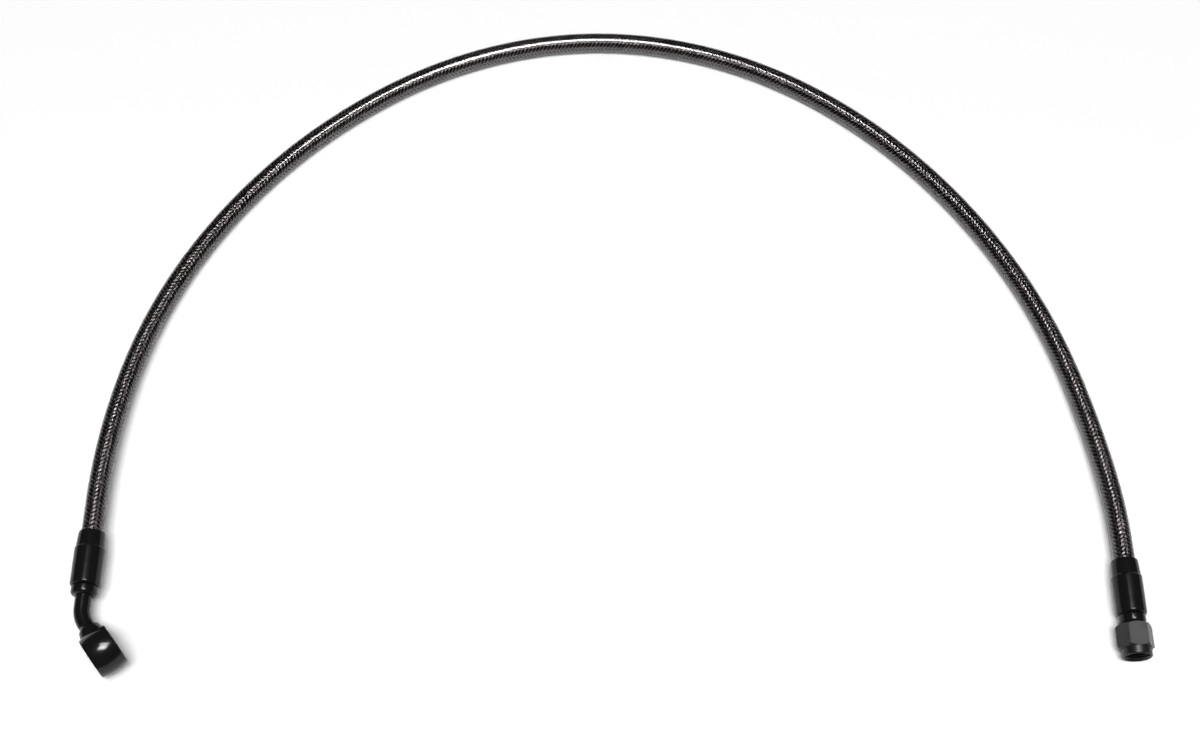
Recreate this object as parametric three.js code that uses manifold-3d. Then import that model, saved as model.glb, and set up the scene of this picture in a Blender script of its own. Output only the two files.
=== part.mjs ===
// A braided brake hose in a clear cover, with a bent banjo fitting at one end and a straight swivel fitting
// at the other. It lies on a table in one wide arc. Units are millimetres and +Z is up.
// The origin is on the table under the middle of the two fittings. Both fittings lie along Y, and the hose
// leaves each of them towards +Y. In each fitting's own frame y = 0 is the closed end of its ferrule.

import * as THREE from "three";
import { mergeVertices } from "three/addons/utils/BufferGeometryUtils.js";
import Module from "manifold-3d";

const wasm = await Module();
wasm.setup();

// Sizes

// Pieces that touch are drawn this far apart.
const SEAT = 0.3;

// The hose's layers, each given by its outer radius.
const COVER_RADIUS = 3.75;
const BRAID_RADIUS = 3.05;
const LINER_RADIUS = 2.45;
const LINER_BORE_RADIUS = 1.7;
const HOSE_SIDES = 12;
const HOSE_STEPS = 44;

// The crimped ferrule, the same on both ends.
const FERRULE_LENGTH = 20;
const FERRULE_RADIUS = 5.3;
const NOSE_LENGTH = 6;
const NOSE_MOUTH_RADIUS = 4.6;
const NOSE_END_RADIUS = 5;
const NOSE_STEP = 0.4;
const MOUTH_CHAMFER = 0.3;
const FERRULE_EDGE = 0.9;
const LIP_LENGTH = 2;

// The nipple inside the hose and its collar outside the ferrule.
const TAIL_LENGTH = 16;
const TAIL_RADIUS = 1.15;
const BARB_HEIGHT = 0.2;
const BARB_PITCH = 3;
const GROOVE_RADIUS = 2.2;
const COLLAR_RADIUS = 4.6;
const COLLAR_LENGTH = 3.2;
const COLLAR_EDGE = 0.5;
const OIL_BORE_RADIUS = 0.8;

// The banjo end: a bent neck tube brazed into the eye's boss.
const NECK_RADIUS = 2.85;
const NECK_TO_BEND = 7.5;
const BEND_TO_EYE = 15.4;
const BEND_RADIUS = 10;
const BEND_ANGLE = THREE.MathUtils.degToRad(37);

const EYE_WIDTH = 9.8;
const EYE_FACE_RADIUS = 7.35;
const EYE_CROWN_RADIUS = 8.15;
const EYE_BORE_RADIUS = 5.1;
const EYE_BORE_CHAMFER = 0.4;
const BOSS_REACH = 9.9;
const BOSS_TIP_RADIUS = 3.8;
const BOSS_ROOT_RADIUS = 4.4;
const SOCKET_FLOOR = 6.9;
const CROSS_HOLE_RADIUS = 1.2;

// The swivel end: a nut that turns on the nipple's stem.
const STEM_RADIUS = 3.2;
const NUT_PLAY = 0.3;
const NUT_ACROSS_FLATS = 11;
const HEX_LENGTH = 8.4;
const HEX_CHAMFER = 0.7;
const SKIRT_LENGTH = 2.8;
const SKIRT_RADIUS = 5.15;
const SKIRT_EDGE = 0.3;
const THREAD_RADIUS = 4.2;
const MOUTH_LEAD_IN = 0.3;
const NUT_BACK_WALL = 2.2;
const HEAD_LENGTH = 3.6;
const SEAT_CONE_RADIUS = 3.2;
const SEAT_CONE_ANGLE = THREE.MathUtils.degToRad(37);

// Places: the closed end of each ferrule, in the part's frame, at the height at which the fitting rests.
const BANJO_END = new THREE.Vector3(-181.6, 6.05, EYE_CROWN_RADIUS);
const SWIVEL_END = new THREE.Vector3(180.1, -3.475, NUT_ACROSS_FLATS / 2);

// The free hose from one ferrule mouth to the other: x, y and the height of its middle line.
const HOSE_ROUTE = [
  [-181.6, 42, 8],
  [-180.7, 60, 7.5],
  [-178.1, 80.5, 6.6],
  [-170.9, 110.4, 5.1],
  [-159, 138.7, 4.2],
  [-142.8, 164.7, 3.8],
  [-122.9, 188, 3.8],
  [-99.7, 208.2, 3.8],
  [-73.7, 224.7, 3.8],
  [-45.2, 236.2, 3.8],
  [-15.1, 241.8, 3.8],
  [15.5, 240.9, 3.8],
  [45.3, 233.7, 3.8],
  [73.2, 220.8, 3.8],
  [98.4, 203.2, 3.8],
  [120.5, 182, 3.8],
  [139.4, 157.8, 3.8],
  [154.8, 131.3, 3.8],
  [166.3, 102.8, 4.1],
  [173.9, 73.1, 4.6],
  [178.2, 48.2, 5.2],
  [179.75, 32.2, 5.45],
];

// Materials

const FITTING_BLACK = { color: 0x17181a, roughness: 0.34, metalness: 0.55 };
const clearCover = new THREE.MeshStandardMaterial({
  color: 0x2c2f2e,
  roughness: 0.12,
  transparent: true,
  opacity: 0.35,
});
const steelBraid = new THREE.MeshStandardMaterial({ color: 0x5b5f5d, roughness: 0.35, metalness: 0.9 });
const ptfeLiner = new THREE.MeshStandardMaterial({ color: 0xe9e9e4, roughness: 0.5 });
const platedSteel = new THREE.MeshStandardMaterial(FITTING_BLACK);
const platedNut = new THREE.MeshStandardMaterial({ ...FITTING_BLACK, roughness: 0.28 });

// Shapes and joins

// Flat sides on a turned shape: as a rule, on the eye, and on the small bores.
const ROUND = 36;
const EYE_ROUND = 60;
const SMALL_ROUND = 12;

function solidOf(geometry) {
  const bare = geometry.clone();
  bare.deleteAttribute("normal");
  bare.deleteAttribute("uv");
  const merged = mergeVertices(bare, 1e-4);
  return new wasm.Manifold(
    new wasm.Mesh({
      numProp: 3,
      vertProperties: merged.attributes.position.array,
      triVerts: new Uint32Array(merged.index.array),
    }),
  );
}

function geometryOf(solid) {
  const mesh = solid.getMesh();
  const geometry = new THREE.BufferGeometry();
  geometry.setAttribute("position", new THREE.BufferAttribute(mesh.vertProperties, 3));
  geometry.setIndex(new THREE.BufferAttribute(mesh.triVerts, 1));
  geometry.computeVertexNormals();
  return geometry;
}

function pieceOf(name, shape, material) {
  const geometry = shape.isBufferGeometry ? shape : geometryOf(shape);
  const mesh = new THREE.Mesh(geometry, material);
  mesh.name = name;
  return mesh;
}

// A shape turned about Y from [radius, y] pairs, listed anticlockwise with the axis on the left.
function turned(profile, closed = false, segments = ROUND) {
  const points = profile.map(([radius, y]) => new THREE.Vector2(radius, y));
  if (closed) points.push(points[0].clone());
  return new THREE.LatheGeometry(points, segments);
}

// A round bar from y = low to y = high.
function bar(radius, low, high, segments = ROUND) {
  return turned([[0, low], [radius, low], [radius, high], [0, high]], false, segments);
}

function ring(radius, sides, turn = 0) {
  const shape = new THREE.Shape();
  for (let i = 0; i < sides; i++) {
    const angle = turn + (2 * Math.PI * i) / sides;
    const x = radius * Math.cos(angle);
    const y = radius * Math.sin(angle);
    if (i === 0) shape.moveTo(x, y);
    else shape.lineTo(x, y);
  }
  shape.closePath();
  return shape;
}

function swept(shape, path, steps) {
  return new THREE.ExtrudeGeometry(shape, { extrudePath: path, steps, bevelEnabled: false });
}

// The bent neck's middle line, from y = top down the fitting's axis, round the bend and on towards the eye.
class NeckLine extends THREE.Curve {
  constructor(top, corner, reach) {
    super();
    this.tangentLength = BEND_RADIUS * Math.tan(BEND_ANGLE / 2);
    this.straight = top - corner - this.tangentLength;
    this.arc = BEND_RADIUS * BEND_ANGLE;
    this.top = top;
    this.corner = corner;
    this.length = this.straight + this.arc + reach - this.tangentLength;
  }

  getPoint(t, target = new THREE.Vector3()) {
    const along = t * this.length;
    if (along <= this.straight) return target.set(0, this.top - along, 0);
    const angle = Math.min((along - this.straight) / BEND_RADIUS, BEND_ANGLE);
    const past = Math.max(along - this.straight - this.arc, 0);
    return target.set(
      BEND_RADIUS * (1 - Math.cos(angle)) + past * Math.sin(BEND_ANGLE),
      this.corner + this.tangentLength - BEND_RADIUS * Math.sin(angle) - past * Math.cos(BEND_ANGLE),
      0,
    );
  }
}

// Hose

// The layers stop just short of the ferrules' inner lips.
const HOSE_STOP = LIP_LENGTH + SEAT;

function hoseLine() {
  const inFitting = (end, y) => new THREE.Vector3(end.x, end.y + y, end.z);
  return new THREE.CatmullRomCurve3(
    [
      inFitting(BANJO_END, HOSE_STOP),
      inFitting(BANJO_END, FERRULE_LENGTH),
      ...HOSE_ROUTE.map((point) => new THREE.Vector3(...point)),
      inFitting(SWIVEL_END, FERRULE_LENGTH),
      inFitting(SWIVEL_END, HOSE_STOP),
    ],
    false,
    "centripetal",
  );
}

function hoseLayer(name, radius, innerRadius, line, material) {
  const section = ring(radius, HOSE_SIDES);
  section.holes.push(ring(innerRadius, HOSE_SIDES));
  return pieceOf(name, swept(section, line, HOSE_STEPS), material);
}

function hose() {
  const line = hoseLine();
  return [
    hoseLayer("hose_cover", COVER_RADIUS, BRAID_RADIUS + SEAT, line, clearCover),
    hoseLayer("hose_braid", BRAID_RADIUS, LINER_RADIUS + SEAT, line, steelBraid),
    hoseLayer("hose_liner", LINER_RADIUS, LINER_BORE_RADIUS, line, ptfeLiner),
  ];
}

// Fittings

function ferrule(name) {
  const bore = COVER_RADIUS + SEAT;
  const noseEnd = FERRULE_LENGTH - NOSE_LENGTH;
  const profile = [
    [GROOVE_RADIUS + SEAT, 0],
    [FERRULE_RADIUS - FERRULE_EDGE, 0],
    [FERRULE_RADIUS - FERRULE_EDGE * (1 - Math.SQRT1_2), FERRULE_EDGE * (1 - Math.SQRT1_2)],
    [FERRULE_RADIUS, FERRULE_EDGE],
    [FERRULE_RADIUS, noseEnd - NOSE_STEP],
    [NOSE_END_RADIUS, noseEnd],
    [NOSE_MOUTH_RADIUS, FERRULE_LENGTH - MOUTH_CHAMFER],
    [NOSE_MOUTH_RADIUS - MOUTH_CHAMFER, FERRULE_LENGTH],
    [bore, FERRULE_LENGTH],
    [bore, LIP_LENGTH],
    [GROOVE_RADIUS + SEAT, LIP_LENGTH],
  ];
  return pieceOf(name, turned(profile, true), platedSteel);
}

const COLLAR_FACE = -SEAT - COLLAR_LENGTH;

// The outline from the collar's outer face up to the tip of the barbed tail, starting and ending on the axis.
function nippleOutline() {
  const collarTop = -SEAT;
  const outline = [
    [0, COLLAR_FACE],
    [COLLAR_RADIUS - COLLAR_EDGE, COLLAR_FACE],
    [COLLAR_RADIUS, COLLAR_FACE + COLLAR_EDGE],
    [COLLAR_RADIUS, collarTop],
    [GROOVE_RADIUS, collarTop],
    [GROOVE_RADIUS, LIP_LENGTH],
    [TAIL_RADIUS, LIP_LENGTH],
  ];
  const barbs = Math.ceil((TAIL_LENGTH - LIP_LENGTH) / BARB_PITCH) - 1;
  for (let left = barbs; left > 0; left--) {
    const y = TAIL_LENGTH - left * BARB_PITCH;
    outline.push([TAIL_RADIUS, y], [TAIL_RADIUS + BARB_HEIGHT, y], [TAIL_RADIUS, y + BARB_PITCH / 2]);
  }
  outline.push([TAIL_RADIUS, TAIL_LENGTH], [0, TAIL_LENGTH]);
  return outline;
}

function bentStem() {
  const corner = COLLAR_FACE - NECK_TO_BEND;
  const sides = 24;
  const steps = 16;
  const neckEnd = BEND_TO_EYE - SOCKET_FLOOR - SEAT;
  const neckTop = COLLAR_FACE + COLLAR_LENGTH / 2;
  const neck = solidOf(swept(ring(NECK_RADIUS, sides), new NeckLine(neckTop, corner, neckEnd), steps));
  const boreTop = TAIL_LENGTH + 1;
  const bore = solidOf(
    swept(ring(OIL_BORE_RADIUS, SMALL_ROUND), new NeckLine(boreTop, corner, neckEnd + 1), 2 * steps),
  );
  const body = solidOf(turned(nippleOutline()));
  return pieceOf("banjo_stem", body.add(neck).subtract(bore), platedSteel);
}

// The eye in its own frame: its bore along X, its boss towards +Y.
function banjoEye() {
  const half = EYE_WIDTH / 2;
  const crownSteps = 8;
  const crown = [];
  for (let i = 0; i <= crownSteps; i++) {
    const share = (2 * i) / crownSteps - 1;
    crown.push([
      EYE_FACE_RADIUS + (EYE_CROWN_RADIUS - EYE_FACE_RADIUS) * (1 - share * share),
      share * half,
    ]);
  }
  const drum = turned(
    [
      [EYE_BORE_RADIUS + EYE_BORE_CHAMFER, -half],
      ...crown,
      [EYE_BORE_RADIUS + EYE_BORE_CHAMFER, half],
      [EYE_BORE_RADIUS, half - EYE_BORE_CHAMFER],
      [EYE_BORE_RADIUS, -half + EYE_BORE_CHAMFER],
    ],
    true,
    EYE_ROUND,
  ).rotateZ(-Math.PI / 2);
  const bossRoot = (EYE_BORE_RADIUS + EYE_FACE_RADIUS) / 2;
  const boss = turned([
    [0, bossRoot],
    [BOSS_ROOT_RADIUS, bossRoot],
    [BOSS_ROOT_RADIUS, EYE_FACE_RADIUS],
    [BOSS_TIP_RADIUS, BOSS_REACH],
    [0, BOSS_REACH],
  ]);
  const socket = bar(NECK_RADIUS + SEAT, SOCKET_FLOOR, BOSS_REACH + 1);
  const crossHole = bar(CROSS_HOLE_RADIUS, 0, SOCKET_FLOOR + 1, SMALL_ROUND);
  const bored = solidOf(drum).add(solidOf(boss)).subtract(solidOf(socket)).subtract(solidOf(crossHole));
  return pieceOf("banjo_eye", bored, platedSteel);
}

function banjoFitting() {
  const group = new THREE.Group();
  group.position.copy(BANJO_END);
  const eye = new THREE.Group();
  const corner = COLLAR_FACE - NECK_TO_BEND;
  eye.position.set(
    BEND_TO_EYE * Math.sin(BEND_ANGLE),
    corner - BEND_TO_EYE * Math.cos(BEND_ANGLE),
    0,
  );
  eye.rotation.z = BEND_ANGLE;
  eye.add(banjoEye());
  group.add(ferrule("banjo_ferrule"), bentStem(), eye);
  return group;
}

// The swivel nut starts just past the collar and ends at its mouth.
const NUT_TOP = COLLAR_FACE - NUT_PLAY;
const HEX_LOW = NUT_TOP - HEX_LENGTH;
const NUT_MOUTH = HEX_LOW - SKIRT_LENGTH;
const HEAD_TOP = NUT_TOP - NUT_BACK_WALL - SEAT;

function swivelNipple() {
  const headRadius = THREAD_RADIUS - SEAT;
  const headFace = HEAD_TOP - HEAD_LENGTH;
  const stemAndHead = turned([
    [0, headFace],
    [headRadius, headFace],
    [headRadius, HEAD_TOP],
    [STEM_RADIUS, HEAD_TOP],
    [STEM_RADIUS, COLLAR_FACE + COLLAR_LENGTH / 2],
    [0, COLLAR_FACE + COLLAR_LENGTH / 2],
  ]);
  const coneDepth = SEAT_CONE_RADIUS / Math.tan(SEAT_CONE_ANGLE);
  const outside = 0.5;
  const cone = turned([
    [0, headFace - outside],
    [SEAT_CONE_RADIUS, headFace - outside],
    [SEAT_CONE_RADIUS, headFace],
    [0, headFace + coneDepth],
  ]);
  const bore = bar(OIL_BORE_RADIUS, headFace - outside, TAIL_LENGTH + outside, SMALL_ROUND);
  const nipple = solidOf(turned(nippleOutline()))
    .add(solidOf(stemAndHead))
    .subtract(solidOf(cone))
    .subtract(solidOf(bore));
  return pieceOf("swivel_nipple", nipple, platedSteel);
}

function swivelNut() {
  const cornerRadius = NUT_ACROSS_FLATS / 2 / Math.cos(Math.PI / 6);
  const hex = new THREE.CylinderGeometry(cornerRadius, cornerRadius, HEX_LENGTH, 6)
    .rotateY(Math.PI / 6)
    .translate(0, (NUT_TOP + HEX_LOW) / 2, 0);
  const chamferReach = cornerRadius - NUT_ACROSS_FLATS / 2;
  const chamferBody = turned([
    [0, HEX_LOW],
    [NUT_ACROSS_FLATS / 2, HEX_LOW],
    [NUT_ACROSS_FLATS / 2 + chamferReach, HEX_LOW + HEX_CHAMFER],
    [NUT_ACROSS_FLATS / 2 + chamferReach, NUT_TOP - HEX_CHAMFER],
    [NUT_ACROSS_FLATS / 2, NUT_TOP],
    [0, NUT_TOP],
  ]);
  const skirt = turned([
    [0, NUT_MOUTH],
    [SKIRT_RADIUS - SKIRT_EDGE, NUT_MOUTH],
    [SKIRT_RADIUS, NUT_MOUTH + SKIRT_EDGE],
    [SKIRT_RADIUS, HEX_LOW + HEX_LENGTH / 2],
    [0, HEX_LOW + HEX_LENGTH / 2],
  ]);
  const outside = 1;
  const threadedBore = turned([
    [0, NUT_MOUTH - outside],
    [THREAD_RADIUS + MOUTH_LEAD_IN, NUT_MOUTH - outside],
    [THREAD_RADIUS + MOUTH_LEAD_IN, NUT_MOUTH],
    [THREAD_RADIUS, NUT_MOUTH + MOUTH_LEAD_IN],
    [THREAD_RADIUS, NUT_TOP - NUT_BACK_WALL],
    [0, NUT_TOP - NUT_BACK_WALL],
  ]);
  const stemHole = bar(STEM_RADIUS + SEAT, NUT_MOUTH, NUT_TOP + outside);
  const nut = solidOf(hex)
    .intersect(solidOf(chamferBody))
    .add(solidOf(skirt))
    .subtract(solidOf(threadedBore))
    .subtract(solidOf(stemHole));
  return pieceOf("swivel_nut", nut, platedNut);
}

function swivelFitting() {
  const group = new THREE.Group();
  group.position.copy(SWIVEL_END);
  group.add(ferrule("swivel_ferrule"), swivelNipple(), swivelNut());
  return group;
}

const brakeHose = new THREE.Group();
brakeHose.add(...hose(), banjoFitting(), swivelFitting());

export default brakeHose;
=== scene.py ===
import math

import bpy
import numpy as np
from bpy.props import FloatProperty, FloatVectorProperty, IntProperty, PointerProperty
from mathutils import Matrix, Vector


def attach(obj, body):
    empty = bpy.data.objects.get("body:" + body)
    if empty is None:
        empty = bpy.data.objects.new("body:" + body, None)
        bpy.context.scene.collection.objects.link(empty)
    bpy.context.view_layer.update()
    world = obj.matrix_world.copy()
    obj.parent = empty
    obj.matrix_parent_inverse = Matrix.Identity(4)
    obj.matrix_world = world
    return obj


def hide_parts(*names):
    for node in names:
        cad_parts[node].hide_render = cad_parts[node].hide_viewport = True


bl_info = {
    "name": "Brake Hose",
    "version": (1, 0, 0),
    "blender": (4, 5, 0),
    "location": "3D View > Sidebar > Brake Hose",
    "description": "A braided brake hose with a bent banjo fitting and a swivel fitting",
    "category": "Object",
}

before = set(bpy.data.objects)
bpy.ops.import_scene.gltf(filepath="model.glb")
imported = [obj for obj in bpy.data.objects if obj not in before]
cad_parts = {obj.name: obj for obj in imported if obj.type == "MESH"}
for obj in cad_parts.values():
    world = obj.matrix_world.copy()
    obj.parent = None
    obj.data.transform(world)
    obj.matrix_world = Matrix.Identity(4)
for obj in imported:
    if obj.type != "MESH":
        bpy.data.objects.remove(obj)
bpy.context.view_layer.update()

MM = 0.001

# The photo's view: the camera's place, its lean from straight down, its lens and the sensor behind it.
CAMERA_PLACE = (-0.00337, -0.21215, 0.6)
CAMERA_LEAN = math.radians(27)
CAMERA_LENS = 54.3
CAMERA_SENSOR = 36

# The points that the middle of the hose follows between the two ferrule mouths.
HOSE_ROUTE = [
    (-0.1816, 0.042, 0.008),
    (-0.1807, 0.06, 0.0075),
    (-0.1781, 0.0805, 0.0066),
    (-0.1709, 0.1104, 0.0051),
    (-0.159, 0.1387, 0.0042),
    (-0.1428, 0.1647, 0.0038),
    (-0.1229, 0.188, 0.0038),
    (-0.0997, 0.2082, 0.0038),
    (-0.0737, 0.2247, 0.0038),
    (-0.0452, 0.2362, 0.0038),
    (-0.0151, 0.2418, 0.0038),
    (0.0155, 0.2409, 0.0038),
    (0.0453, 0.2337, 0.0038),
    (0.0732, 0.2208, 0.0038),
    (0.0984, 0.2032, 0.0038),
    (0.1205, 0.182, 0.0038),
    (0.1394, 0.1578, 0.0038),
    (0.1548, 0.1313, 0.0038),
    (0.1663, 0.1028, 0.0041),
    (0.1739, 0.0731, 0.0046),
    (0.1782, 0.0482, 0.0052),
    (0.17975, 0.0322, 0.00545),
]

# The closed end of each ferrule. Each fitting's own measure runs along Y from here.
BANJO_END = Vector((-0.1816, 0.00605, 0.00815))
SWIVEL_END = Vector((0.1801, -0.003475, 0.0055))
FERRULE_AXIS = Vector((0, 1, 0))
FERRULE_LENGTH = 20 * MM
# How far the hose's end stands off the closed end.
HOSE_STOP = 2.3 * MM
# Steps in which the hose's line is measured off.
LINE_STEPS = 12000

# The braid's two lays, and the way in which each winds round the hose.
LAYS = {"braid_right_lay": 1, "braid_left_lay": -1}

# Steps in a full turn on the lathe.
ROUND = 96


def linear(code):
    """An sRGB hex code as linear red, green, blue and alpha."""
    parts = [int(code[i : i + 2], 16) / 255 for i in (1, 3, 5)]
    return [c / 12.92 if c <= 0.04045 else ((c + 0.055) / 1.055) ** 2.4 for c in parts] + [1.0]


class HoseSizes(bpy.types.PropertyGroup):
    """The hose's layers and its weave"""

    cover_radius: FloatProperty(
        name="Cover radius", description="Outside of the clear cover", default=3.75 * MM, unit="LENGTH"
    )
    braid_radius: FloatProperty(
        name="Braid radius", description="Crowns of the wire braid", default=3.05 * MM, unit="LENGTH"
    )
    liner_radius: FloatProperty(
        name="Liner radius", description="Outside of the inner tube", default=2.45 * MM, unit="LENGTH"
    )
    strand_pitch: FloatProperty(
        name="Strand pitch",
        description="Distance along the hose from one strand to the next of the same lay",
        default=1.55 * MM,
        unit="LENGTH",
    )
    strands: IntProperty(name="Strands", description="Strands of wire in each lay", default=8, min=4)
    wires: IntProperty(name="Wires", description="Wires side by side in a strand", default=6, min=1)


class FittingSizes(bpy.types.PropertyGroup):
    """The ferrules, the bent neck, the eye and the nut"""

    ferrule_length: FloatProperty(
        name="Ferrule length", description="Closed end to mouth", default=FERRULE_LENGTH, unit="LENGTH"
    )
    ferrule_radius: FloatProperty(
        name="Ferrule radius", description="Outside of the straight part", default=5.3 * MM, unit="LENGTH"
    )
    collar_radius: FloatProperty(
        name="Collar radius", description="Collar under the ferrule", default=4.6 * MM, unit="LENGTH"
    )
    neck_radius: FloatProperty(name="Neck radius", description="Bent tube", default=2.85 * MM, unit="LENGTH")
    neck_bend: FloatProperty(
        name="Neck bend", description="Angle of the bend", default=math.radians(37), subtype="ANGLE"
    )
    eye_width: FloatProperty(
        name="Eye width", description="Face to face of the eye", default=9.8 * MM, unit="LENGTH"
    )
    eye_radius: FloatProperty(
        name="Eye radius", description="Crown of the eye's rim", default=8.15 * MM, unit="LENGTH"
    )
    nut_flats: FloatProperty(
        name="Nut across flats", description="Flat to flat of the nut", default=11 * MM, unit="LENGTH"
    )
    thread_pitch: FloatProperty(
        name="Thread pitch", description="Turn to turn of the nut's thread", default=1.05 * MM, unit="LENGTH"
    )


class Finishes(bpy.types.PropertyGroup):
    """Colours of the finishes"""

    cover_tint: FloatVectorProperty(
        name="Cover tint",
        description="Smoke tint of the clear cover",
        default=linear("#928C8E"),
        size=4,
        subtype="COLOR",
        min=0,
        max=1,
    )
    wire: FloatVectorProperty(
        name="Wire",
        description="Stainless steel wire",
        default=linear("#D6D4D2"),
        size=4,
        subtype="COLOR",
        min=0,
        max=1,
    )
    liner: FloatVectorProperty(
        name="Liner",
        description="Inner tube",
        default=linear("#E4E3DC"),
        size=4,
        subtype="COLOR",
        min=0,
        max=1,
    )
    plating: FloatVectorProperty(
        name="Plating",
        description="Black plating of the fittings",
        default=linear("#151516"),
        size=4,
        subtype="COLOR",
        min=0,
        max=1,
    )
    floor: FloatVectorProperty(
        name="Floor",
        description="White sweep under the hose",
        default=linear("#FAFAFA"),
        size=4,
        subtype="COLOR",
    )


GROUPS = {
    "brake_hose_sizes": HoseSizes,
    "brake_hose_fittings": FittingSizes,
    "brake_hose_finishes": Finishes,
}


# Nodes and materials


def add_node(tree, kind, settings=None, **inputs):
    """Adds a node, with its settings, and gives each input a value or a link from another node's output.

    An input goes by its name, or by its place as in0, in1 and so on."""
    node = tree.nodes.new("ShaderNode" + kind)
    for name, value in (settings or {}).items():
        setattr(node, name, value)
    for name, value in inputs.items():
        socket = node.inputs[int(name[2:])] if name.startswith("in") else node.inputs[name.replace("_", " ")]
        if isinstance(value, bpy.types.NodeSocket):
            tree.links.new(value, socket)
        else:
            socket.default_value = value
    return node


def new_material(name):
    """An empty node material and its tree."""
    material = bpy.data.materials.new(name)
    material.use_nodes = True
    material.node_tree.nodes.clear()
    return material, material.node_tree


def extruded_clear_vinyl(finishes):
    """Clear vinyl with a smoke tint, extruded over the braid: wet gloss, with faint lines drawn along it."""
    material, tree = new_material("extruded_clear_vinyl")
    uv = add_node(tree, "UVMap", {"uv_map": "along"})
    # The UV map counts millimetres round and along, so the die lines are 0.4 mm apart and 60 mm long.
    stretched = add_node(tree, "Mapping", Vector=uv.outputs["UV"], Scale=(2.4, 0.016, 1.0))
    lines = add_node(tree, "TexNoise", Vector=stretched.outputs[0], Scale=1.0, Detail=2.0, Roughness=0.5)
    haze = add_node(tree, "TexNoise", Vector=uv.outputs["UV"], Scale=0.12, Detail=3.0)
    roughness = add_node(tree, "MapRange", in0=haze.outputs[0], in1=0.35, in2=0.7, in3=0.05, in4=0.1)
    bump = add_node(tree, "Bump", Height=lines.outputs[0], Strength=0.25, Distance=0.004 * MM)
    shader = add_node(
        tree,
        "BsdfPrincipled",
        Base_Color=finishes.cover_tint,
        IOR=1.5,
        Transmission_Weight=1.0,
        Roughness=roughness.outputs[0],
        Normal=bump.outputs[0],
    )
    add_node(tree, "OutputMaterial", Surface=shader.outputs[0])
    return material


def woven_stainless_wire(finishes, sizes):
    """Drawn stainless wire laid in strands, with painted shade between the strands and between the wires that
    leaves each strand's crown bright.
    """
    material, tree = new_material("woven_stainless_wire")
    uv = add_node(tree, "UVMap", {"uv_map": "along"})
    # Across a strand the UV map runs from 0 to 1, so each wire is one arch of a sine.
    across = add_node(tree, "SeparateXYZ", Vector=uv.outputs["UV"])
    turn = add_node(tree, "Math", {"operation": "MULTIPLY"}, in0=across.outputs[0], in1=math.pi * sizes.wires)
    wave = add_node(tree, "Math", {"operation": "SINE"}, in0=turn.outputs[0])
    round_wire = add_node(tree, "Math", {"operation": "ABSOLUTE"}, in0=wave.outputs[0])
    # Painted shade: the wire's colour darkens in the groove between each two wires.
    painted_groove_shade = add_node(tree, "MapRange", in0=round_wire.outputs[0], in1=0.0, in2=0.45, in3=0.25, in4=1.0)
    stain = add_node(tree, "TexNoise", Vector=uv.outputs["UV"], Scale=0.35, Detail=3.0)
    tone = add_node(tree, "MapRange", in0=stain.outputs[0], in1=0.3, in2=0.7, in3=0.8, in4=1.0)
    # Painted shade: a strand's colour darkens from its crown towards its two sides, where they sink into the
    # crossing strands; the random tone above is the wire's own.
    half_turn = add_node(tree, "Math", {"operation": "MULTIPLY"}, in0=across.outputs[0], in1=math.pi)
    arch = add_node(tree, "Math", {"operation": "SINE"}, in0=half_turn.outputs[0])
    crown = add_node(tree, "MapRange", in0=arch.outputs[0], in1=0.3, in2=0.95, in3=0.06, in4=1.0)
    tone_and_crease_shade = add_node(tree, "Math", {"operation": "MULTIPLY"}, in0=crown.outputs[0], in1=tone.outputs[0])
    shade = add_node(tree, "Math", {"operation": "MULTIPLY"}, in0=painted_groove_shade.outputs[0], in1=tone_and_crease_shade.outputs[0])
    multiply = {"blend_type": "MULTIPLY"}
    colour = add_node(tree, "MixRGB", multiply, Fac=1.0, Color1=finishes.wire, Color2=shade.outputs[0])
    bump = add_node(tree, "Bump", Height=round_wire.outputs[0], Strength=1.0, Distance=0.012 * MM)
    shader = add_node(
        tree,
        "BsdfPrincipled",
        Base_Color=colour.outputs[0],
        Metallic=1.0,
        Roughness=0.28,
        Normal=bump.outputs[0],
    )
    add_node(tree, "OutputMaterial", Surface=shader.outputs[0])
    return material


def extruded_ptfe(finishes):
    """Milky extruded fluoropolymer tube: waxy, with a soft sheen."""
    material, tree = new_material("extruded_ptfe")
    place = add_node(tree, "TexCoord")
    cloud = add_node(tree, "TexNoise", Vector=place.outputs["Object"], Scale=900.0, Detail=2.0)
    roughness = add_node(tree, "MapRange", in0=cloud.outputs[0], in1=0.3, in2=0.7, in3=0.38, in4=0.52)
    shader = add_node(
        tree,
        "BsdfPrincipled",
        Base_Color=finishes.liner,
        IOR=1.35,
        Roughness=roughness.outputs[0],
        Subsurface_Weight=0.2,
        Subsurface_Scale=0.5 * MM,
    )
    add_node(tree, "OutputMaterial", Surface=shader.outputs[0])
    return material


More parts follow.
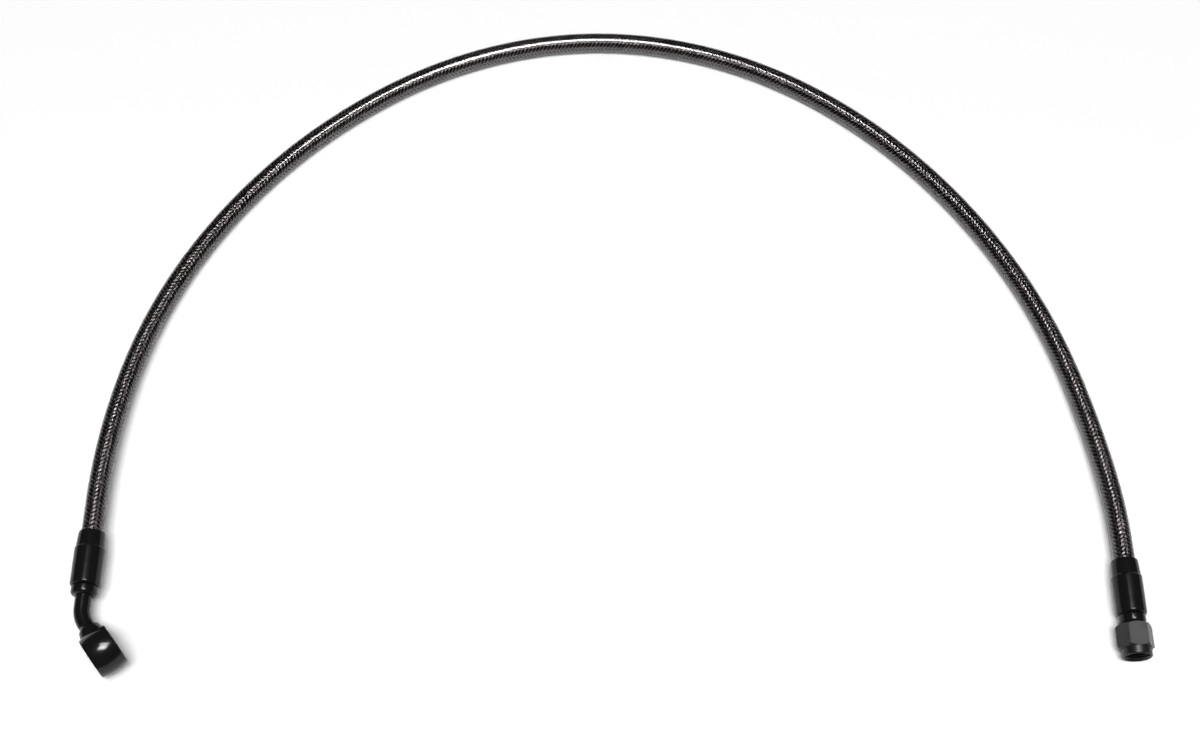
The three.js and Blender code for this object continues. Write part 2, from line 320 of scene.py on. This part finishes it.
def turned_black_plated_steel(finishes):
    """Steel turned on a lathe and plated black: satin, with fine rings from the tool."""
    material, tree = new_material("turned_black_plated_steel")
    place = add_node(tree, "TexCoord")
    split = add_node(tree, "SeparateXYZ", Vector=place.outputs["Object"])
    # Tool rings 0.25 mm apart along the axis, broken up by a slow noise.
    rings = add_node(tree, "Math", {"operation": "MULTIPLY"}, in0=split.outputs[1], in1=1 / (0.25 * MM))
    one_way = {"noise_dimensions": "1D"}
    ring_noise = add_node(tree, "TexNoise", one_way, W=rings.outputs[0], Scale=1.0, Detail=2.0)
    grain = add_node(tree, "TexNoise", Vector=place.outputs["Object"], Scale=1500.0, Detail=3.0)
    wear = add_node(tree, "TexNoise", Vector=place.outputs["Object"], Scale=220.0, Detail=4.0)
    roughness = add_node(tree, "MapRange", in0=wear.outputs[0], in1=0.3, in2=0.7, in3=0.14, in4=0.19)
    rough_grain = add_node(
        tree, "MixRGB", {"blend_type": "ADD"}, Fac=0.6, Color1=ring_noise.outputs[0], Color2=grain.outputs[0]
    )
    bump = add_node(tree, "Bump", Height=rough_grain.outputs[0], Strength=0.35, Distance=0.005 * MM)
    shader = add_node(
        tree,
        "BsdfPrincipled",
        Base_Color=finishes.plating,
        Roughness=roughness.outputs[0],
        IOR=1.32,
        Normal=bump.outputs[0],
    )
    add_node(tree, "OutputMaterial", Surface=shader.outputs[0])
    return material


def forged_black_plated_steel(finishes):
    """Forged and tumbled steel plated black: deep gloss over a faintly uneven skin."""
    material, tree = new_material("forged_black_plated_steel")
    place = add_node(tree, "TexCoord")
    skin = add_node(tree, "TexNoise", Vector=place.outputs["Object"], Scale=260.0, Detail=3.0)
    grain = add_node(tree, "TexNoise", Vector=place.outputs["Object"], Scale=1800.0, Detail=2.0)
    roughness = add_node(tree, "MapRange", in0=grain.outputs[0], in1=0.3, in2=0.7, in3=0.14, in4=0.2)
    bump = add_node(tree, "Bump", Height=skin.outputs[0], Strength=0.3, Distance=0.02 * MM)
    shader = add_node(
        tree,
        "BsdfPrincipled",
        Base_Color=finishes.plating,
        Roughness=roughness.outputs[0],
        IOR=1.38,
        Normal=bump.outputs[0],
    )
    add_node(tree, "OutputMaterial", Surface=shader.outputs[0])
    return material


def drawn_black_plated_steel(finishes):
    """Hexagon bar, drawn and plated black: lines along the flats and a half gloss."""
    material, tree = new_material("drawn_black_plated_steel")
    place = add_node(tree, "TexCoord")
    drawn = add_node(tree, "Mapping", Vector=place.outputs["Object"], Scale=(4200.0, 160.0, 4200.0))
    lines = add_node(tree, "TexNoise", Vector=drawn.outputs[0], Scale=1.0, Detail=2.0)
    cloud = add_node(tree, "TexNoise", Vector=place.outputs["Object"], Scale=300.0, Detail=3.0)
    roughness = add_node(tree, "MapRange", in0=cloud.outputs[0], in1=0.3, in2=0.7, in3=0.3, in4=0.4)
    bump = add_node(tree, "Bump", Height=lines.outputs[0], Strength=0.4, Distance=0.008 * MM)
    shader = add_node(
        tree,
        "BsdfPrincipled",
        Base_Color=finishes.plating,
        Roughness=roughness.outputs[0],
        IOR=1.44,
        Normal=bump.outputs[0],
    )
    add_node(tree, "OutputMaterial", Surface=shader.outputs[0])
    return material


def matte_paper(finishes):
    """White background paper: flat and matte. A little of its own white keeps it white in view."""
    material, tree = new_material("matte_paper")
    paper = add_node(tree, "BsdfDiffuse", Color=finishes.floor)
    path = add_node(tree, "LightPath")
    seen = add_node(
        tree,
        "Math",
        {"operation": "MAXIMUM"},
        in0=path.outputs["Is Camera Ray"],
        in1=path.outputs["Is Glossy Ray"],
    )
    lift = add_node(tree, "Math", {"operation": "MULTIPLY"}, in0=seen.outputs[0], in1=0.1)
    white = add_node(tree, "Emission", Strength=lift.outputs[0])
    shader = add_node(tree, "AddShader", in0=paper.outputs[0], in1=white.outputs[0])
    add_node(tree, "OutputMaterial", Surface=shader.outputs[0])
    return material


# Work at the bench


def put_down_everything():
    """Leaves edit mode with nothing selected."""
    if bpy.context.object and bpy.context.object.mode != "OBJECT":
        bpy.ops.object.mode_set(mode="OBJECT")
    bpy.ops.object.select_all(action="DESELECT")


def turn_on_lathe(
    name, outline, centre, axis=FERRULE_AXIS, across=Vector((1, 0, 0)), closed=True, sides=ROUND
):
    """Draws an outline of (radius, distance along the axis) in millimetres and spins it round the axis."""
    put_down_everything()
    points = [centre + across * r * MM + axis * y * MM for r, y in outline]
    if closed:
        points.append(points[0])
    bpy.ops.mesh.primitive_plane_add(size=MM, location=points[0])
    piece = bpy.context.object
    piece.name = name
    bpy.ops.object.mode_set(mode="EDIT")
    bpy.ops.mesh.select_all(action="SELECT")
    bpy.ops.mesh.merge(type="CENTER")
    for here, there in zip(points, points[1:]):
        bpy.ops.mesh.extrude_vertices_move(TRANSFORM_OT_translate={"value": there - here})
    bpy.ops.mesh.select_all(action="SELECT")
    bpy.ops.mesh.remove_doubles(threshold=1e-6)
    bpy.ops.mesh.spin(steps=sides, angle=2 * math.pi, center=centre, axis=axis)
    bpy.ops.mesh.select_all(action="SELECT")
    bpy.ops.mesh.remove_doubles(threshold=1e-6)
    bpy.ops.mesh.normals_make_consistent(inside=False)
    bpy.ops.object.mode_set(mode="OBJECT")
    bpy.ops.object.transform_apply(location=True, rotation=True, scale=True)
    return piece


def apply_modifier(piece, kind, **settings):
    """Puts a modifier on a piece and applies it."""
    put_down_everything()
    piece.select_set(True)
    bpy.context.view_layer.objects.active = piece
    modifier = piece.modifiers.new(kind.lower(), kind)
    for setting, value in settings.items():
        setattr(modifier, setting, value)
    bpy.ops.object.modifier_apply(modifier=modifier.name)


def cut_or_join(piece, tool, operation):
    """Cuts a piece with another, or joins the two, and throws the tool away."""
    apply_modifier(piece, "BOOLEAN", operation=operation, object=tool, solver="EXACT")
    bpy.data.objects.remove(tool)


def break_edges(piece, width):
    """Rounds the sharp edges, as tumbling and plating leave them."""
    apply_modifier(
        piece,
        "BEVEL",
        width=width * MM,
        segments=2,
        limit_method="ANGLE",
        angle_limit=math.radians(24),
        harden_normals=False,
    )


def finish_piece(piece, material, body, slot, *nodes, flats=True):
    """Smooths, paints and mounts a piece, and hides the solid that it stands for."""
    put_down_everything()
    piece.select_set(True)
    bpy.context.view_layer.objects.active = piece
    bpy.ops.object.shade_smooth_by_angle(angle=math.radians(28))
    if flats:
        # The shading of a large face stays flat up to the rounding at its edge.
        apply_modifier(piece, "WEIGHTED_NORMAL", keep_sharp=True)
    piece.data.materials.clear()
    piece.data.materials.append(material)
    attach(piece, body)
    if nodes:
        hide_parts(*nodes)
    return piece


# The hose's line


def hose_line(step):
    """Points, headings and two side directions along the hose, about one step apart.

    One smooth cubic runs through the route's points and is straight where it enters each ferrule."""
    ends = [
        [BANJO_END + FERRULE_AXIS * HOSE_STOP, BANJO_END + FERRULE_AXIS * FERRULE_LENGTH],
        [SWIVEL_END + FERRULE_AXIS * FERRULE_LENGTH, SWIVEL_END + FERRULE_AXIS * HOSE_STOP],
    ]
    knots = np.array([*map(tuple, ends[0]), *HOSE_ROUTE, *map(tuple, ends[1])])
    gaps = np.linalg.norm(np.diff(knots, axis=0), axis=1)
    at = np.concatenate([[0], np.cumsum(gaps)])
    count = len(knots)
    system = np.zeros((count, count))
    right = np.zeros((count, 3))
    system[0, :2] = [2 * gaps[0], gaps[0]]
    right[0] = 6 * ((knots[1] - knots[0]) / gaps[0] - np.array(FERRULE_AXIS))
    system[-1, -2:] = [gaps[-1], 2 * gaps[-1]]
    right[-1] = 6 * (-np.array(FERRULE_AXIS) - (knots[-1] - knots[-2]) / gaps[-1])
    for i in range(1, count - 1):
        system[i, i - 1 : i + 2] = [gaps[i - 1], 2 * (gaps[i - 1] + gaps[i]), gaps[i]]
        right[i] = 6 * ((knots[i + 1] - knots[i]) / gaps[i] - (knots[i] - knots[i - 1]) / gaps[i - 1])
    bends = np.linalg.solve(system, right)

    def along(t):
        k = np.clip(np.searchsorted(at, t) - 1, 0, count - 2)
        h = gaps[k][:, None]
        a = (at[k + 1] - t)[:, None] / h
        b = 1 - a
        bow = ((a**3 - a) * bends[k] + (b**3 - b) * bends[k + 1]) * h**2 / 6
        return a * knots[k] + b * knots[k + 1] + bow

    fine = along(np.linspace(0, at[-1], LINE_STEPS))
    run = np.concatenate([[0], np.cumsum(np.linalg.norm(np.diff(fine, axis=0), axis=1))])
    samples = round(run[-1] / step) + 1
    wanted = np.linspace(0, run[-1], samples)
    points = np.stack([np.interp(wanted, run, fine[:, i]) for i in range(3)], axis=1)
    headings = np.gradient(points, axis=0)
    headings /= np.linalg.norm(headings, axis=1)[:, None]
    sides = np.zeros_like(points)
    sides[0] = (1, 0, 0)
    for i in range(1, samples):
        side = sides[i - 1] - headings[i] * (sides[i - 1] @ headings[i])
        sides[i] = side / np.linalg.norm(side)
    return points, headings, sides, np.cross(headings, sides), run[-1]


def mesh_from_rings(name, rings, across, along):
    """A closed mesh through rings of points, with a UV map from a measure across and a measure along."""
    steps, count = rings.shape[:2]
    faces, corners = [], []
    for i in range(steps - 1):
        for j in range(count):
            k = (j + 1) % count
            faces.append((i * count + j, i * count + k, (i + 1) * count + k, (i + 1) * count + j))
            for u, v in ((j, i), (j + 1, i), (j + 1, i + 1), (j, i + 1)):
                corners.append((across[u], along[v]))
    for ring, order in ((0, range(count)[::-1]), (steps - 1, range(count))):
        faces.append(tuple(ring * count + j for j in order))
        corners.extend((across[j], along[ring]) for j in order)
    mesh = bpy.data.meshes.new(name)
    mesh.from_pydata(rings.reshape(-1, 3).tolist(), [], faces)
    uv = mesh.uv_layers.new(name="along")
    uv.data.foreach_set("uv", np.array(corners, np.float32).ravel())
    mesh.update()
    piece = bpy.data.objects.new(name, mesh)
    bpy.context.scene.collection.objects.link(piece)
    return piece


class BRAKEHOSE_OT_stage(bpy.types.Operator):
    """Sets the camera, the white paper and the lamps"""

    bl_idname = "brakehose.stage"
    bl_label = "Stage"

    def execute(self, context):
        scene = context.scene
        scene.view_settings.view_transform = "Standard"
        put_down_everything()
        bpy.ops.object.camera_add(location=CAMERA_PLACE, rotation=(CAMERA_LEAN, 0, 0))
        camera = context.object
        camera.data.sensor_width = CAMERA_SENSOR
        camera.data.lens = CAMERA_LENS
        camera.data.clip_start = 0.01
        scene.camera = camera

        put_down_everything()
        bpy.ops.mesh.primitive_plane_add(size=3.2)
        floor = context.object
        floor.name = "paper_sweep"
        floor.data.materials.append(matte_paper(scene.brake_hose_finishes))

        # Each lamp's name, place, size and power. The panels show in reflections, and the fill
        # lights only matte surfaces.
        for name, place, size, power, glossy in (
            ("panel_far", (0.3, 0.76, 4.0), (2.0, 0.34), 72, True),
            ("panel_near", (0.3, -0.15, 4.0), (1.7, 1.0), 190, True),
            ("fill_panel", (0, -0.9, 3.4), (2.0, 1.4), 136, False),
        ):
            put_down_everything()
            bpy.ops.object.light_add(type="AREA", location=place, rotation=(0, 0, math.radians(-12)))
            lamp = context.object
            lamp.name = name
            lamp.data.shape = "RECTANGLE"
            lamp.data.size, lamp.data.size_y = size
            lamp.data.energy = power
            lamp.visible_glossy = lamp.visible_transmission = glossy
            lamp.visible_diffuse = not glossy
            lamp.visible_camera = False

        world = bpy.data.worlds.new("dim_room")
        scene.world = world
        world.use_nodes = True
        # The room lights the hose dimly, and behind the paper's edge the camera sees white.
        tree = world.node_tree
        tree.nodes.clear()
        path = add_node(tree, "LightPath")
        dim, white = linear("#2C2C2D"), linear("#FFFFFF")
        colour = add_node(tree, "MixRGB", Fac=path.outputs["Is Camera Ray"], Color1=dim, Color2=white)
        background = add_node(tree, "Background", Color=colour.outputs[0], Strength=1.0)
        add_node(tree, "OutputWorld", Surface=background.outputs[0])
        return {"FINISHED"}


class BRAKEHOSE_OT_cover(bpy.types.Operator):
    """Draws the clear cover over the braid, and the liner inside it"""

    bl_idname = "brakehose.cover"
    bl_label = "Cover and Liner"

    def execute(self, context):
        sizes = context.scene.brake_hose_sizes
        finishes = context.scene.brake_hose_finishes
        points, _, sides, ups, length = hose_line(1.5 * MM)
        along = np.linspace(0, length / MM, len(points))

        def layer(name, radius, count):
            turn = np.linspace(0, 2 * math.pi, count, endpoint=False)
            out = np.cos(turn)[:, None] * sides[:, None] + np.sin(turn)[:, None] * ups[:, None]
            rings = points[:, None] + radius * out
            across = np.linspace(0, 2 * math.pi * radius / MM, count + 1)
            return mesh_from_rings(name, rings, across, along)

        cover = layer("clear_cover", sizes.cover_radius, 64)
        finish_piece(cover, extruded_clear_vinyl(finishes), "hose", "clear_cover", "hose_cover", flats=False)
        bpy.ops.object.shade_smooth()

        liner = layer("liner_tube", sizes.liner_radius - 0.02 * MM, 32)
        finish_piece(liner, extruded_ptfe(finishes), "hose", "ptfe_liner", "hose_liner", flats=False)

        return {"FINISHED"}


class BRAKEHOSE_OT_braid(bpy.types.Operator):
    """Weaves the two lays of wire strands"""

    bl_idname = "brakehose.braid"
    bl_label = "Wire Braid"

    def execute(self, context):
        sizes = context.scene.brake_hose_sizes
        steel = woven_stainless_wire(context.scene.brake_hose_finishes, sizes)
        cell = sizes.strand_pitch / 2
        points, headings, sides, ups, length = hose_line(cell / 2)
        run = np.linspace(0, length, len(points))
        lay = sizes.strand_pitch * sizes.strands
        thick = 0.18 * MM
        middle = sizes.braid_radius - thick
        # A strand fills nearly all of its share of the way round.
        width = 0.96 * sizes.strand_pitch * math.sin(math.atan2(2 * math.pi * middle, lay))
        # Points round a strand's section: place across in widths, and height in thicknesses.
        section = [(0.5, 0.0), (0.42, 0.36), (0.2, 0.6), (-0.2, 0.6), (-0.42, 0.36), (-0.5, 0.0)]
        # The same points' places across the strand in its UV map.
        across = [1, 0.92, 0.7, 0.3, 0.08, 0, 1]
        for name, way in LAYS.items():
            strands = []
            for number in range(sizes.strands):
                angle = 2 * math.pi * number / sizes.strands + way * 2 * math.pi * run / lay
                column = angle * 2 * sizes.strands / (2 * math.pi)
                # A strand goes over two and under two, at the same places round the hose all along it.
                float_height = np.clip(1.5 * np.cos(math.pi * (column - 0.5) / 2), -1, 1) * way
                radius = middle + thick / 2 * float_height
                out = np.cos(angle)[:, None] * sides + np.sin(angle)[:, None] * ups
                round_way = np.cross(headings, out)
                lead = np.arctan2(2 * math.pi * radius * way, lay)[:, None]
                strand_way = np.cos(lead) * headings + np.sin(lead) * round_way
                flat = np.cross(out, strand_way)
                centre = points + radius[:, None] * out
                rings = np.stack(
                    [
                        centre
                        + flat * (x * width)
                        + out * (y * thick - (x * width) ** 2 / (2 * middle) * math.sin(abs(lead[0, 0])) ** 2)
                        for x, y in section
                    ],
                    axis=1,
                )
                strand_length = np.cumsum(np.linalg.norm(np.diff(centre, axis=0, prepend=centre[:1]), axis=1))
                strands.append(mesh_from_rings(name, rings, across, strand_length / MM))
            put_down_everything()
            for strand in strands:
                strand.select_set(True)
            context.view_layer.objects.active = strands[0]
            bpy.ops.object.join()
            braid = context.object
            braid.name = name
            finish_piece(braid, steel, "hose", "steel_braid", "hose_braid", flats=False)
        return {"FINISHED"}


class BRAKEHOSE_OT_ferrules(bpy.types.Operator):
    """Turns the two crimped ferrules"""

    bl_idname = "brakehose.ferrules"
    bl_label = "Ferrules"

    def execute(self, context):
        sizes = context.scene.brake_hose_fittings
        steel = turned_black_plated_steel(context.scene.brake_hose_finishes)
        length, radius = sizes.ferrule_length / MM, sizes.ferrule_radius / MM
        bore = context.scene.brake_hose_sizes.cover_radius / MM + 0.03
        outline = [
            (2.25, 0),
            (radius - 0.9, 0),
            (radius - 0.55, 0.1),
            (radius - 0.26, 0.26),
            (radius - 0.1, 0.55),
            (radius, 0.9),
            (radius, length - 6.4),
            (radius - 0.06, length - 6.25),
            (radius - 0.26, length - 6.05),
            (radius - 0.31, length - 5.8),
            (radius - 0.5, length - 2.5),
            (radius - 0.68, length - 0.5),
            (radius - 0.8, length - 0.15),
            (radius - 1.05, length),
            (bore + 0.2, length),
            (bore, length - 0.2),
            (bore, 2),
            (2.25, 2),
        ]
        for name, end in (("banjo_ferrule", BANJO_END), ("swivel_ferrule", SWIVEL_END)):
            ferrule = turn_on_lathe(name + "_crimped", outline, end)
            finish_piece(ferrule, steel, "hose", "black_ferrule", name)
        return {"FINISHED"}


class BRAKEHOSE_OT_banjo(bpy.types.Operator):
    """Makes the collar, the bent neck and the eye of the banjo end"""

    bl_idname = "brakehose.banjo"
    bl_label = "Banjo End"

    def execute(self, context):
        sizes = context.scene.brake_hose_fittings
        finishes = context.scene.brake_hose_finishes
        satin = turned_black_plated_steel(finishes)
        gloss = forged_black_plated_steel(finishes)
        collar = sizes.collar_radius / MM
        neck = sizes.neck_radius / MM

        stem = turn_on_lathe(
            "banjo_stem_bent",
            [
                (0, -3.5),
                (collar - 1.3, -3.5),
                (collar - 0.8, -3.4),
                (collar - 0.38, -3.12),
                (collar - 0.1, -2.7),
                (collar, -2.2),
                (collar, -0.35),
                (collar - 0.3, -0.05),
                (2.2, -0.05),
                (2.2, 2),
                (1.15, 2.3),
                (1.15, 16),
                (0, 16),
            ],
            BANJO_END,
            closed=False,
        )
        break_edges(stem, 0.08)

        # The neck: a disc drawn down the axis, spun round the bend and drawn on into the eye.
        bend = sizes.neck_bend
        bend_radius, neck_start, corner_at, eye_at, boss_reach = 10, 2, 11, 15.4, 7.2
        tangent = bend_radius * math.tan(bend / 2)
        put_down_everything()
        bpy.ops.mesh.primitive_circle_add(
            vertices=64,
            radius=sizes.neck_radius,
            location=BANJO_END - FERRULE_AXIS * neck_start * MM,
            rotation=(math.pi / 2, 0, 0),
        )
        tube = context.object
        bpy.ops.object.mode_set(mode="EDIT")
        bpy.ops.mesh.select_all(action="SELECT")
        straight = (0, -(corner_at - neck_start - tangent) * MM, 0)
        bpy.ops.mesh.extrude_region_move(TRANSFORM_OT_translate={"value": straight})
        bend_start = BANJO_END - FERRULE_AXIS * (corner_at - tangent) * MM
        bend_middle = bend_start + Vector((bend_radius * MM, 0, 0))
        bpy.ops.mesh.spin(steps=18, angle=-bend, center=bend_middle, axis=(0, 0, 1))
        heading = Vector((math.sin(bend), -math.cos(bend), 0))
        into_boss = heading * (eye_at - boss_reach - tangent) * MM
        bpy.ops.mesh.extrude_region_move(TRANSFORM_OT_translate={"value": into_boss})
        bpy.ops.mesh.select_all(action="SELECT")
        bpy.ops.mesh.remove_doubles(threshold=1e-6)
        bpy.ops.mesh.fill_holes(sides=0)
        bpy.ops.mesh.normals_make_consistent(inside=False)
        put_down_everything()
        tube.select_set(True)
        context.view_layer.objects.active = tube
        bpy.ops.object.transform_apply(location=True, rotation=True, scale=True)
        cut_or_join(stem, tube, "UNION")
        finish_piece(stem, satin, "hose", "black_steel", "banjo_stem")

        corner = BANJO_END - FERRULE_AXIS * corner_at * MM
        centre = corner + heading * eye_at * MM
        axis = Vector((math.cos(bend), math.sin(bend), 0))
        up = Vector((0, 0, 1))
        half = sizes.eye_width / MM / 2
        crown = sizes.eye_radius / MM
        # The rim is crowned: its sides stand lower than its middle.
        crowning = 0.8
        rim = []
        for i in range(17):
            share = i / 8 - 1
            rim.append((crown - crowning * share * share, share * half))
        eye = turn_on_lathe(
            "banjo_eye_drum",
            [(5.5, -half), *rim, (5.5, half), (5.1, half - 0.4), (5.1, -half + 0.4)],
            centre,
            axis,
            up,
            sides=128,
        )
        boss = turn_on_lathe(
            "boss",
            [
                (0, 6.2),
                (4.4, 6.2),
                (4.4, 7.3),
                (4.2, 8.2),
                (3.95, 9.2),
                (3.75, 9.75),
                (3.35, 10.05),
                (3.05, 10.5),
                (neck - 0.02, 11.3),
                (0, 11.3),
            ],
            centre,
            -heading,
            up,
            closed=False,
            sides=64,
        )
        cut_or_join(eye, boss, "UNION")
        break_edges(eye, 0.22)
        finish_piece(eye, gloss, "hose", "black_steel", "banjo_eye")
        return {"FINISHED"}


class BRAKEHOSE_OT_swivel(bpy.types.Operator):
    """Makes the nipple and the nut of the swivel end"""

    bl_idname = "brakehose.swivel"
    bl_label = "Swivel End"

    def execute(self, context):
        sizes = context.scene.brake_hose_fittings
        finishes = context.scene.brake_hose_finishes
        collar = sizes.collar_radius / MM
        nipple = turn_on_lathe(
            "swivel_nipple_turned",
            [
                (0.8, -5.0),
                (3.2, -9.9),
                (3.9, -9.9),
                (3.9, -6.3),
                (3.2, -6.3),
                (3.2, -3.5),
                (collar - 0.8, -3.4),
                (collar - 0.38, -3.12),
                (collar - 0.1, -2.7),
                (collar, -2.2),
                (collar, -0.35),
                (collar - 0.3, -0.05),
                (2.2, -0.05),
                (2.2, 2),
                (1.15, 2.3),
                (1.15, 16),
                (0.8, 16),
            ],
            SWIVEL_END,
        )
        break_edges(nipple, 0.08)
        finish_piece(nipple, turned_black_plated_steel(finishes), "hose", "black_steel", "swivel_nipple")

        # The nut: a turned body with its skirt and bore, cut to the six flats of a hexagon bar.
        flats = sizes.nut_flats / MM / 2
        corners = flats / math.cos(math.pi / 6)
        top, low, mouth, wall = -3.8, -12.2, -15.0, 2.2
        bore, skirt, stem_hole = 4.38, 5.15, 3.4
        nut = turn_on_lathe(
            "swivel_nut_threaded",
            [
                (4.7, mouth),
                (4.87, mouth),
                (skirt, mouth + 0.28),
                (skirt, low),
                (flats, low),
                (corners, low + 0.7),
                (corners, top - 0.7),
                (flats, top),
                (stem_hole, top),
                (stem_hole, top - wall),
                (bore, top - wall),
                (bore, mouth + 0.32),
            ],
            SWIVEL_END,
        )
        put_down_everything()
        bpy.ops.mesh.primitive_cylinder_add(
            vertices=6,
            radius=corners * MM,
            depth=(top - mouth + 2) * MM,
            location=SWIVEL_END + FERRULE_AXIS * (top + mouth) / 2 * MM,
            rotation=(math.pi / 2, math.pi / 6, 0),
        )
        hexagon_bar = bpy.context.object
        bpy.ops.object.transform_apply(location=True, rotation=True, scale=True)
        cut_or_join(nut, hexagon_bar, "INTERSECT")
        break_edges(nut, 0.1)

        # The thread: one tooth, screwed along the bore and left standing in its wall.
        pitch = sizes.thread_pitch / MM
        turns = int((top - wall - mouth - 0.8) / pitch)
        tooth_middle = (bore - 0.14) * MM
        put_down_everything()
        bpy.ops.mesh.primitive_plane_add(size=MM, location=SWIVEL_END + FERRULE_AXIS * (mouth + 0.7) * MM)
        tooth = context.object
        bpy.ops.object.mode_set(mode="EDIT")
        bpy.ops.mesh.select_all(action="SELECT")
        bpy.ops.transform.resize(value=(0.36, 0.86 * pitch, 1), orient_type="GLOBAL")
        bpy.ops.transform.translate(value=(tooth_middle, 0, 0))
        bpy.ops.mesh.select_all(action="DESELECT")
        bpy.ops.object.mode_set(mode="OBJECT")
        for vertex in tooth.data.vertices:
            vertex.select = vertex.co.x < tooth_middle
        bpy.ops.object.mode_set(mode="EDIT")
        bpy.ops.transform.resize(value=(1, 0.25, 1), orient_type="GLOBAL")
        bpy.ops.mesh.select_all(action="SELECT")
        bpy.ops.mesh.delete(type="ONLY_FACE")
        rise = {"angle": 2 * math.pi, "screw_offset": sizes.thread_pitch, "iterations": turns}
        apply_modifier(tooth, "SCREW", axis="Y", steps=48, render_steps=48, **rise)
        bpy.ops.object.mode_set(mode="EDIT")
        bpy.ops.mesh.select_all(action="SELECT")
        bpy.ops.mesh.remove_doubles(threshold=1e-6)
        bpy.ops.mesh.fill_holes(sides=0)
        bpy.ops.mesh.normals_make_consistent(inside=False)
        bpy.ops.object.mode_set(mode="OBJECT")
        bpy.ops.object.transform_apply(location=True, rotation=True, scale=True)
        tooth.select_set(True)
        nut.select_set(True)
        context.view_layer.objects.active = nut
        bpy.ops.object.join()
        finish_piece(nut, drawn_black_plated_steel(finishes), "nut", "black_nut", "swivel_nut")
        return {"FINISHED"}


class BRAKEHOSE_PT_bench(bpy.types.Panel):
    """Lists the pieces in the order in which they are made"""

    bl_label = "Brake Hose"
    bl_idname = "BRAKEHOSE_PT_bench"
    bl_space_type = "VIEW_3D"
    bl_region_type = "UI"
    bl_category = "Brake Hose"

    def draw(self, context):
        for operator in OPERATORS:
            self.layout.operator(operator.bl_idname)
        for name in GROUPS:
            group = getattr(context.scene, name)
            box = self.layout.box()
            for prop in group.bl_rna.properties:
                if prop.identifier not in ("rna_type", "name"):
                    box.prop(group, prop.identifier)


OPERATORS = (
    BRAKEHOSE_OT_stage,
    BRAKEHOSE_OT_braid,
    BRAKEHOSE_OT_cover,
    BRAKEHOSE_OT_ferrules,
    BRAKEHOSE_OT_banjo,
    BRAKEHOSE_OT_swivel,
)


def register():
    for name, group in GROUPS.items():
        bpy.utils.register_class(group)
        setattr(bpy.types.Scene, name, PointerProperty(type=group))
    for kind in (*OPERATORS, BRAKEHOSE_PT_bench):
        bpy.utils.register_class(kind)


def unregister():
    for kind in (BRAKEHOSE_PT_bench, *reversed(OPERATORS)):
        bpy.utils.unregister_class(kind)
    for name, group in GROUPS.items():
        delattr(bpy.types.Scene, name)
        bpy.utils.unregister_class(group)


def main():
    register()
    bpy.ops.brakehose.stage()
    bpy.ops.brakehose.braid()
    bpy.ops.brakehose.cover()
    bpy.ops.brakehose.ferrules()
    bpy.ops.brakehose.banjo()
    bpy.ops.brakehose.swivel()


if __name__ == "__main__":
    main()
